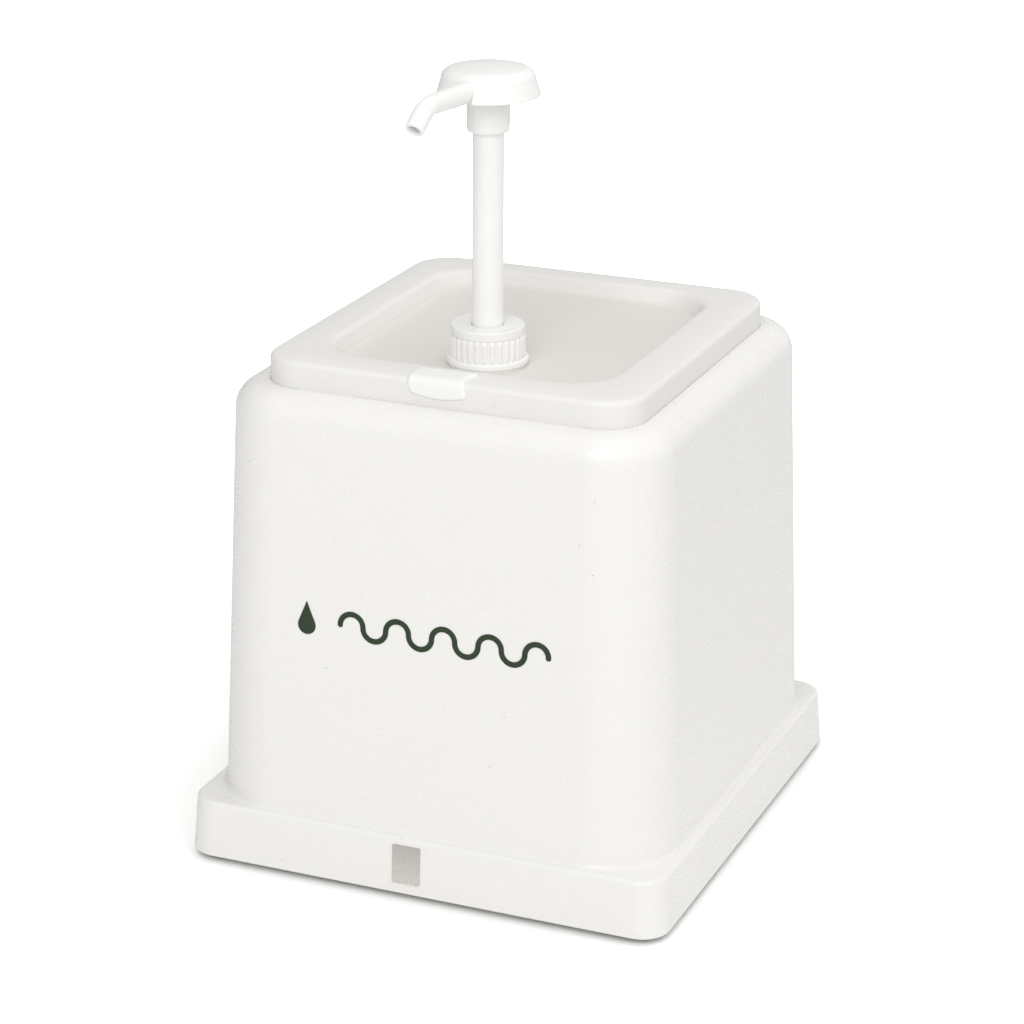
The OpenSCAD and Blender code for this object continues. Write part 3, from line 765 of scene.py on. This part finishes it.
def dome():
    z0 = dome_low.z
    rim = 2 * MM
    outer = [(dome_r - 0.5 * MM, z0), (dome_r - 0.15 * MM, z0 + 0.15 * MM),
             (dome_r, z0 + 0.6 * MM), (dome_r - 0.1 * MM, z0 + 1.4 * MM)] + dome_side(0)
    inner = dome_side(rim)[::-1] + [(dome_r - rim, z0 + 1.2 * MM), (dome_r - rim, z0 + 0.3 * MM),
                                    (dome_r - rim + 0.3 * MM, z0)]
    made = lathe("dome_moulding", outer + inner, count=128, sharp=40)
    made.modifiers.clear()
    socket = lathe("dome_socket", rounded([
        (hub_r + 0.1 * MM, z0 + 1.5 * MM, 0.2 * MM), (hub_r + 2 * MM, z0 + 1.5 * MM, 0.2 * MM),
        (hub_r + 2 * MM, dome_high.z - rim, 0), (hub_r + 0.1 * MM, dome_high.z - rim, 0),
    ]))
    socket.modifiers.clear()
    made = join([made, socket])

    # The arched notch that the spout leaves through.
    r = spout_r - 0.15 * MM
    arch = [Vector((0, -r, -20 * MM))]
    arch += [Vector((0, r * math.sin(math.radians(a)), r * math.cos(math.radians(a))))
             for a in range(-90, 91, 6)]
    arch.append(Vector((0, r, -20 * MM)))
    rings = [[p + Vector((x, 0, 0)) for p in arch] for x in (2 * MM, dome_r + 8 * MM)]
    verts, faces = skin(rings)
    count = len(arch)
    faces += [tuple(range(count)), tuple(count + k for k in reversed(range(count)))]
    cutter = piece("notch", verts, faces)
    cutter.data.transform(spout_frame())
    cut = made.modifiers.new("notch", "BOOLEAN")
    cut.operation = "DIFFERENCE"
    cut.object = cutter
    cut.solver = "EXACT"
    baked(made)
    bpy.data.objects.remove(cutter)
    clean(made, 40)
    soft = made.modifiers.new("edges", "BEVEL")
    soft.width = 0.3 * MM
    soft.segments = 3
    soft.limit_method = "ANGLE"
    soft.angle_limit = math.radians(50)
    weighted(made)
    return made


# ---- Materials ----


class Look:
    """A node material and the few node kinds the looks below are made of."""

    def __init__(self, name, colour, rough, **shader):
        self.material = bpy.data.materials.new(name)
        self.material.use_nodes = True
        self.nodes = self.material.node_tree.nodes
        self.links = self.material.node_tree.links
        self.shader = self.nodes["Principled BSDF"]
        self.shader.inputs["Base Color"].default_value = (*colour, 1)
        self.shader.inputs["Roughness"].default_value = rough
        self.shader.inputs["Subsurface Radius"].default_value = (1.0, 0.92, 0.8)
        for socket, value in shader.items():
            self.shader.inputs[socket.replace("_", " ")].default_value = value
        self.coords = self.nodes.new("ShaderNodeTexCoord").outputs["Object"]

    def link(self, source, node, socket):
        self.links.new(source, node.inputs[socket])

    def noise(self, scale, detail=3.0, rough=0.5):
        node = self.nodes.new("ShaderNodeTexNoise")
        node.inputs["Scale"].default_value = scale
        node.inputs["Detail"].default_value = detail
        node.inputs["Roughness"].default_value = rough
        self.link(self.coords, node, "Vector")
        return node.outputs["Fac"]

    def ramp(self, source, low, high, start=0.0, end=1.0):
        """source, mapped from low..high to start..end and kept inside it."""
        node = self.nodes.new("ShaderNodeMapRange")
        node.inputs["From Min"].default_value = low
        node.inputs["From Max"].default_value = high
        node.inputs["To Min"].default_value = start
        node.inputs["To Max"].default_value = end
        self.link(source, node, "Value")
        return node.outputs["Result"]

    def span(self, source, low, high):
        """source, mapped from 0.3..0.7, where noise mostly lies, to low..high."""
        return self.ramp(source, 0.3, 0.7, low, high)

    def times(self, a, b):
        node = self.nodes.new("ShaderNodeMath")
        node.operation = "MULTIPLY"
        self.links.new(a, node.inputs[0])
        self.links.new(b, node.inputs[1])
        return node.outputs[0]

    def mix(self, factor, first, second):
        """A colour between first and second, each a colour or another mix's output."""
        node = self.nodes.new("ShaderNodeMix")
        node.data_type = "RGBA"
        self.links.new(factor, node.inputs[0])
        for socket, value in ((6, first), (7, second)):
            if isinstance(value, tuple):
                node.inputs[socket].default_value = (*value, 1)
            else:
                self.links.new(value, node.inputs[socket])
        return node.outputs[2]

    def colour(self, output):
        self.link(output, self.shader, "Base Color")

    def roughness(self, output):
        self.link(output, self.shader, "Roughness")

    def bump(self, height, depth):
        """A bump of that depth, in metres."""
        node = self.nodes.new("ShaderNodeBump")
        node.inputs["Distance"].default_value = depth
        self.link(height, node, "Height")
        self.link(node.outputs["Normal"], self.shader, "Normal")

    def base(self):
        """The colour as it stands, to be mixed with another."""
        return self.shader.inputs["Base Color"].links[0].from_socket

    def along(self, axis):
        """The place along X, Y or Z, in metres."""
        node = self.nodes.new("ShaderNodeSeparateXYZ")
        self.link(self.coords, node, "Vector")
        return node.outputs[axis]

    def within(self, axis, half, fade):
        """1 up to a distance half from the middle along an axis, and 0 from half + fade on."""
        node = self.nodes.new("ShaderNodeMath")
        node.operation = "ABSOLUTE"
        self.links.new(self.along(axis), node.inputs[0])
        return self.ramp(node.outputs[0], half + fade, half)

    def reach(self):
        """The distance from the origin, in metres."""
        node = self.nodes.new("ShaderNodeVectorMath")
        node.operation = "LENGTH"
        self.links.new(self.coords, node.inputs[0])
        return node.outputs["Value"]


def shade(colour, factor):
    return tuple(min(1.0, channel * factor) for channel in colour)


def plastic(name, colour, rough=0.32, blotch=0.004, peel=0.004 * MM, milk=0.06, **shader):
    """Moulded thermoplastic: cloudy colour, uneven gloss and a faint orange peel."""
    look = Look(name, colour, rough, Subsurface_Weight=milk, Subsurface_Scale=0.0015,
                IOR=1.47, **shader)
    look.colour(look.mix(look.noise(1300, 2), shade(colour, 1 - blotch), shade(colour, 1 + blotch)))
    look.roughness(look.span(look.noise(900, 3), rough - 0.01, rough + 0.01))
    look.bump(look.noise(350, 1), peel)
    return look


def speckled(look, base_scale, size, tint):
    """A few tiny dark specks, one in some of the cells of a coarse grid."""
    cells = look.nodes.new("ShaderNodeTexVoronoi")
    cells.inputs["Scale"].default_value = base_scale
    look.link(look.coords, cells, "Vector")
    spot = look.ramp(cells.outputs["Distance"], size, size * 0.6)
    pick = look.nodes.new("ShaderNodeSeparateColor")
    look.link(cells.outputs["Color"], pick, "Color")
    some = look.ramp(pick.outputs[0], 0.85, 0.86)
    look.colour(look.mix(look.times(spot, some), look.base(), tint))


def housing_plastic():
    white = (0.885, 0.877, 0.852)
    look = plastic("housing_plastic", white, 0.27, 0.002, 0.0002 * MM, 0.05, Coat_Weight=0.15)
    speckled(look, 120, 0.05, (0.34, 0.3, 0.25))
    return look.material


def lid_plastic():
    """Milky polypropylene: whiter where the rim is thick, and greyer on the thin panel, where the grey
    is painted shade of the recess and of the darker inside seen through it.
    """
    milky = (0.852, 0.84, 0.816)
    thin = (0.785, 0.762, 0.725)
    look = plastic("lid_plastic", milky, 0.46, 0.005, 0.001 * MM, 0.05)
    # Painted shade: the panel low in the recess, inside the rim, is mixed to a greyer colour for the
    # recess's shade and the darker inside seen through the thin plastic.
    low = look.ramp(look.along("Z"), z_panel + 2.5 * MM, z_panel + 0.5 * MM)
    across = look.within("X", lid_hx - rim_w, 4 * MM)
    deep = look.within("Y", lid_hy - rim_d, 4 * MM)
    look.colour(look.mix(look.times(low, look.times(across, deep)), look.base(), thin))
    return look.material


def ink():
    green = (0.012, 0.030, 0.010)
    look = Look("print_ink", green, 0.5)
    look.colour(look.mix(look.ramp(look.noise(900, 3), 0.3, 0.7), shade(green, 0.75), shade(green, 1.6)))
    look.roughness(look.span(look.noise(400, 2), 0.42, 0.6))
    look.bump(look.noise(1500, 2), 0.03 * MM)
    return look.material


def badge_print():
    grey = (0.55, 0.525, 0.49)
    low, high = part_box("badge")
    look = Look("badge_print", grey, 0.4)
    rise = look.ramp(look.along("Z"), low.z, high.z)
    graded = look.mix(rise, shade(grey, 1.25), shade(grey, 0.85))
    look.colour(look.mix(look.ramp(look.noise(700, 2), 0.45, 0.75), graded, shade(grey, 0.9)))
    look.roughness(look.span(look.noise(300, 2), 0.34, 0.5))
    look.bump(look.noise(1200, 2), 0.02 * MM)
    return look.material


def rubber(name, colour):
    look = Look(name, colour, 0.72, Specular_IOR_Level=0.35)
    look.colour(look.mix(look.noise(160, 4), shade(colour, 0.75), shade(colour, 1.35)))
    look.roughness(look.span(look.noise(90, 4), 0.62, 0.85))
    look.bump(look.noise(1800, 3), 0.08 * MM)
    return look.material


def steel(name, rough, brushed=260):
    grey = (0.62, 0.62, 0.61)
    look = Look(name, grey, rough, Metallic=1.0)
    look.colour(look.mix(look.noise(60, 4), shade(grey, 0.9), shade(grey, 1.1)))
    look.roughness(look.span(look.noise(brushed, 4, 0.7), rough - 0.08, rough + 0.12))
    look.bump(look.noise(brushed * 4, 2), 0.02 * MM)
    return look.material


def make_materials():
    return {
        "housing": housing_plastic(),
        "lid": lid_plastic(),
        "bucket": plastic("bucket_plastic", (0.84, 0.825, 0.79), 0.4, 0.015, 0.02 * MM, 0.15).material,
        "plate": plastic("plate_plastic", (0.74, 0.73, 0.69), 0.45, 0.03, 0.03 * MM).material,
        "tab": plastic("tab_plastic", (0.92, 0.92, 0.91), 0.3, 0.002, 0.0006 * MM).material,
        "pump": plastic("pump_plastic", (0.93, 0.926, 0.913), 0.26, 0.003, 0.0005 * MM, 0.06).material,
        "inner": plastic("inner_plastic", (0.84, 0.83, 0.8), 0.36, 0.015, 0.01 * MM, 0.15).material,
        "tube": plastic("tube_plastic", (0.78, 0.77, 0.73), 0.4, 0.02, 0.01 * MM, 0.2).material,
        "grip": plastic("grip_plastic", (0.86, 0.855, 0.83), 0.4, 0.015, 0.02 * MM).material,
        "ink": ink(),
        "badge": badge_print(),
        "foot": rubber("foot_rubber", (0.025, 0.025, 0.024)),
        "gasket": rubber("gasket_rubber", (0.28, 0.035, 0.025)),
        "seal": rubber("seal_rubber", (0.04, 0.04, 0.039)),
        "handle": steel("handle_steel", 0.3),
        "screw": steel("screw_steel", 0.35, 400),
        "ball": steel("ball_steel", 0.14, 500),
        "spring": steel("spring_steel", 0.26, 700),
    }


def paint(obj, material):
    obj.data.materials.clear()
    obj.data.materials.append(material)


# ---- Stage ----


def floor(half):
    """A broad white sweep that lights the object as white paper. The camera sees it overexposed,
    and more so far from the object, so only the shadow beside the plinth shows."""
    verts = [(x * half, y * half, 0) for x, y in ((-1, -1), (1, -1), (1, 1), (-1, 1))]
    made = piece("floor", verts, [(0, 1, 2, 3)])
    look = Look("floor_sweep", (0.9, 0.9, 0.9), 1.0)
    shown = look.nodes.new("ShaderNodeBsdfDiffuse")
    look.link(look.ramp(look.reach(), 0.18, 3, 1.15, 8), shown, "Color")
    seen = look.nodes.new("ShaderNodeLightPath")
    choose = look.nodes.new("ShaderNodeMixShader")
    look.link(seen.outputs["Is Camera Ray"], choose, 0)
    look.link(look.shader.outputs[0], choose, 1)
    look.link(shown.outputs[0], choose, 2)
    look.link(choose.outputs[0], look.nodes["Material Output"], "Surface")
    paint(made, look.material)


def surround():
    """White light from all round, weaker from the left (-X)."""
    world = bpy.data.worlds.new("studio")
    bpy.context.scene.world = world
    world.use_nodes = True
    nodes, links = world.node_tree.nodes, world.node_tree.links
    light = nodes["Background"]
    coords = nodes.new("ShaderNodeTexCoord")
    split = nodes.new("ShaderNodeSeparateXYZ")
    links.new(coords.outputs["Generated"], split.inputs[0])
    side = nodes.new("ShaderNodeMapRange")
    side.inputs["From Min"].default_value = -0.9
    side.inputs["From Max"].default_value = 0
    side.inputs["To Min"].default_value = 0.25
    side.inputs["To Max"].default_value = 0.85
    links.new(split.outputs["X"], side.inputs["Value"])
    seen = nodes.new("ShaderNodeLightPath")
    choose = nodes.new("ShaderNodeMix")
    links.new(seen.outputs["Is Camera Ray"], choose.inputs["Factor"])
    links.new(side.outputs["Result"], choose.inputs["A"])
    choose.inputs["B"].default_value = 1.0
    links.new(choose.outputs["Result"], light.inputs["Strength"])
    light.inputs["Color"].default_value = (1.0, 0.995, 0.985, 1)


def soft_light(name, place, target, size, power):
    data = bpy.data.lights.new(name, "AREA")
    data.shape = "DISK"
    data.size = size
    data.energy = power
    lamp = bpy.data.objects.new(name, data)
    lamp.location = place
    lamp.rotation_mode = "QUATERNION"
    lamp.rotation_quaternion = (Vector(target) - Vector(place)).to_track_quat("-Z", "Y")
    bpy.context.scene.collection.objects.link(lamp)


def camera():
    """A long lens at the left of the front, looking a little down."""
    ahead = Vector((-0.358, 0.868, -0.343)).normalized()
    roll = math.radians(0.34)
    right = ahead.cross(Vector((0, 0, 1))).normalized()
    up = right.cross(ahead)
    right, up = (right * math.cos(roll) + up * math.sin(roll),
                 up * math.cos(roll) - right * math.sin(roll))
    data = bpy.data.cameras.new("camera")
    data.sensor_width = 36
    data.lens = 108.9
    data.clip_start = 0.05
    eye = bpy.data.objects.new("camera", data)
    eye.matrix_world = Matrix.Translation((0.6528, -1.5972, 0.815)) @ Matrix((
        (right.x, up.x, -ahead.x, 0), (right.y, up.y, -ahead.y, 0),
        (right.z, up.z, -ahead.z, 0), (0, 0, 0, 1)))
    bpy.context.scene.collection.objects.link(eye)
    bpy.context.scene.camera = eye


# ---- Putting it together ----

made_of = make_materials()

# piece maker, body, CAD node it stands for, material, record slot
PIECES = [
    (housing, "housing", "housing_shell", "housing", "housing_plastic"),
    (bucket, "bucket", "bucket", "bucket", "bucket_plastic"),
    (handle_grip, "handle", "handle_grip", "grip", "grip_plastic"),
    (lid, "lid", "lid", "lid", "lid_plastic"),
    (seal_tab, "lid", "seal_tab", "tab", "tab_plastic"),
    (neck, "lid", "neck", "pump", "pump_plastic"),
    (pump_cap, "cap", "pump_cap", "pump", "pump_plastic"),
    (stem, "plunger", "stem", "pump", "pump_plastic"),
    (dome, "head", "head_cap", "pump", "pump_plastic"),
    (collar, "head", "spout_body", "pump", "pump_plastic"),
    (spout, "head", "spout_body", "pump", "pump_plastic"),
    (spring, "pump", "spring", "spring", "spring_steel"),
]

# CAD nodes that keep their own shape
KEPT = {
    "base_plate": "plate", "foot_front_left": "foot", "foot_front_right": "foot",
    "foot_back_left": "foot", "foot_back_right": "foot", "foot_screws": "screw",
    "front_print": "ink", "badge": "badge", "bail_handle": "handle",
    "neck_gasket": "gasket", "neck_nut": "pump", "pump_cylinder": "inner",
    "cylinder_gasket": "gasket", "guide_bush": "pump", "foot_valve": "inner",
    "dip_tube": "tube", "inlet_ball": "ball", "piston": "inner", "piston_seal": "seal",
    "outlet_ball": "ball",
}

for make, body, node, material, slot in PIECES:
    obj = make()
    paint(obj, made_of[material])
    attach(obj, body)
    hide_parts(node)
    if make is spring:
        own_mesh(obj)

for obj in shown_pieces():
    if obj.get("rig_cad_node") in KEPT:
        paint(obj, made_of[KEPT[obj["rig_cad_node"]]])

floor(6)
surround()
soft_light("top_box", (0.1, -0.1, 2.6), (0, 0, 0.2), 2.0, 6)
soft_light("front_box", (0.4, -2.1, 1.9), (0, 0, 0.25), 1.6, 20.5)
camera()
bpy.context.scene.view_settings.view_transform = "Standard"
